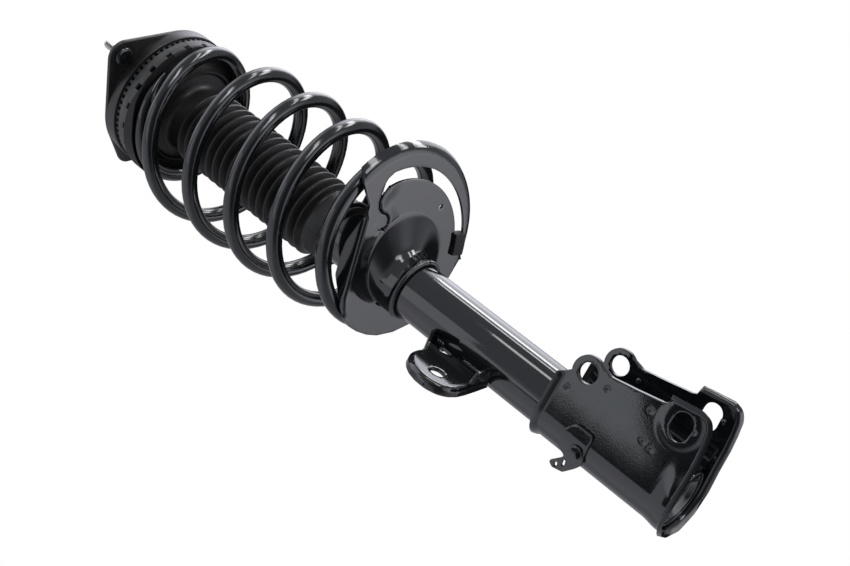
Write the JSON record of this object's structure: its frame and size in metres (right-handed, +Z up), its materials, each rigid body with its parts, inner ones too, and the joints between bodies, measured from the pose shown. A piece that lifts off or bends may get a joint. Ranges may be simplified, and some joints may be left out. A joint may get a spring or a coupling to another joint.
{
  "type": "suspension strut assembly",
  "caption": "Complete suspension strut: bearing top mount, coil spring, ribbed boot, spring seat, damper tube and knuckle clamp bracket.",
  "frame": {"origin": "centre of the stud circle in the top face of the mount plate", "axes": "+Z up along the damper axis towards the vehicle body, +X towards the open ears of the knuckle bracket, -Y towards the ear for the stabiliser link"},
  "size_m": [0.2002, 0.1746, 0.6727],
  "materials": {
    "mount_paint": "satin black paint",
    "seat_paint": "semi-gloss black paint",
    "tube_paint": "gloss black paint",
    "bracket_paint": "semi-gloss black paint",
    "spring_coat": "gloss black powder coat",
    "zinc": "zinc plated",
    "steel": "machined",
    "chrome": "polished hard chrome",
    "rubber": "matt",
    "boot_rubber": "matt",
    "foam": "matt polyurethane foam",
    "plastic_dark": "matt",
    "plastic_grey": "matt"
  },
  "bodies": {
    "top_mount": {"mount_plate": "mount_paint", "tower_stud_a": "zinc", "tower_stud_b": "zinc", "mount_retainer": "mount_paint", "mount_rubber": "rubber", "mount_sleeve": "steel", "rod_washer_upper": "zinc", "rod_washer_lower": "zinc", "rod_nut": "zinc", "bearing_upper_race": "plastic_dark", "piston_rod": "chrome", "bump_stop": "foam", "rebound_stop": "steel", "piston": "steel", "piston_band": "plastic_dark", "piston_nut": "steel"},
    "bearing_cage_set": {"bearing_cage": "plastic_dark", "bearing_balls": "steel"},
    "upper_seat": {"bearing_lower_race": "plastic_grey", "upper_spring_seat": "seat_paint", "upper_isolator": "rubber", "coil_spring": "spring_coat", "dust_boot": "boot_rubber"},
    "strut_tube": {"damper_tube": "tube_paint", "base_cap": "tube_paint", "base_valve": "steel", "pressure_tube": "steel", "rod_guide": "steel", "rod_seal": "rubber", "striker_cap": "plastic_dark", "lower_spring_seat": "seat_paint", "lower_isolator": "rubber", "link_bracket": "bracket_paint", "knuckle_bracket": "bracket_paint", "bracket_reinforcement": "bracket_paint", "hose_bracket": "bracket_paint", "hose_bracket_bolt": "zinc"}
  },
  "joints": [
    {"name": "steer", "type": "hinge", "parent": "top_mount", "child": "upper_seat", "pos_m": [0, 0, -0.0205], "axis": [0, 0, 1], "range_deg": [-40, 40]},
    {"name": "cage_roll", "type": "hinge", "parent": "top_mount", "child": "bearing_cage_set", "pos_m": [0, 0, -0.0205], "axis": [0, 0, 1], "range_deg": [-20, 20]},
    {"name": "stroke", "type": "slide", "parent": "upper_seat", "child": "strut_tube", "axis": [0, 0, 1], "range_m": [0, 0.12], "stiffness_N_per_m": 25000, "springref_m": -0.03, "deforming": ["coil_spring", "dust_boot"]}
  ],
  "couplings": [
    {"joint": "cage_roll", "follows": "steer", "ratio": 0.5}
  ]
}
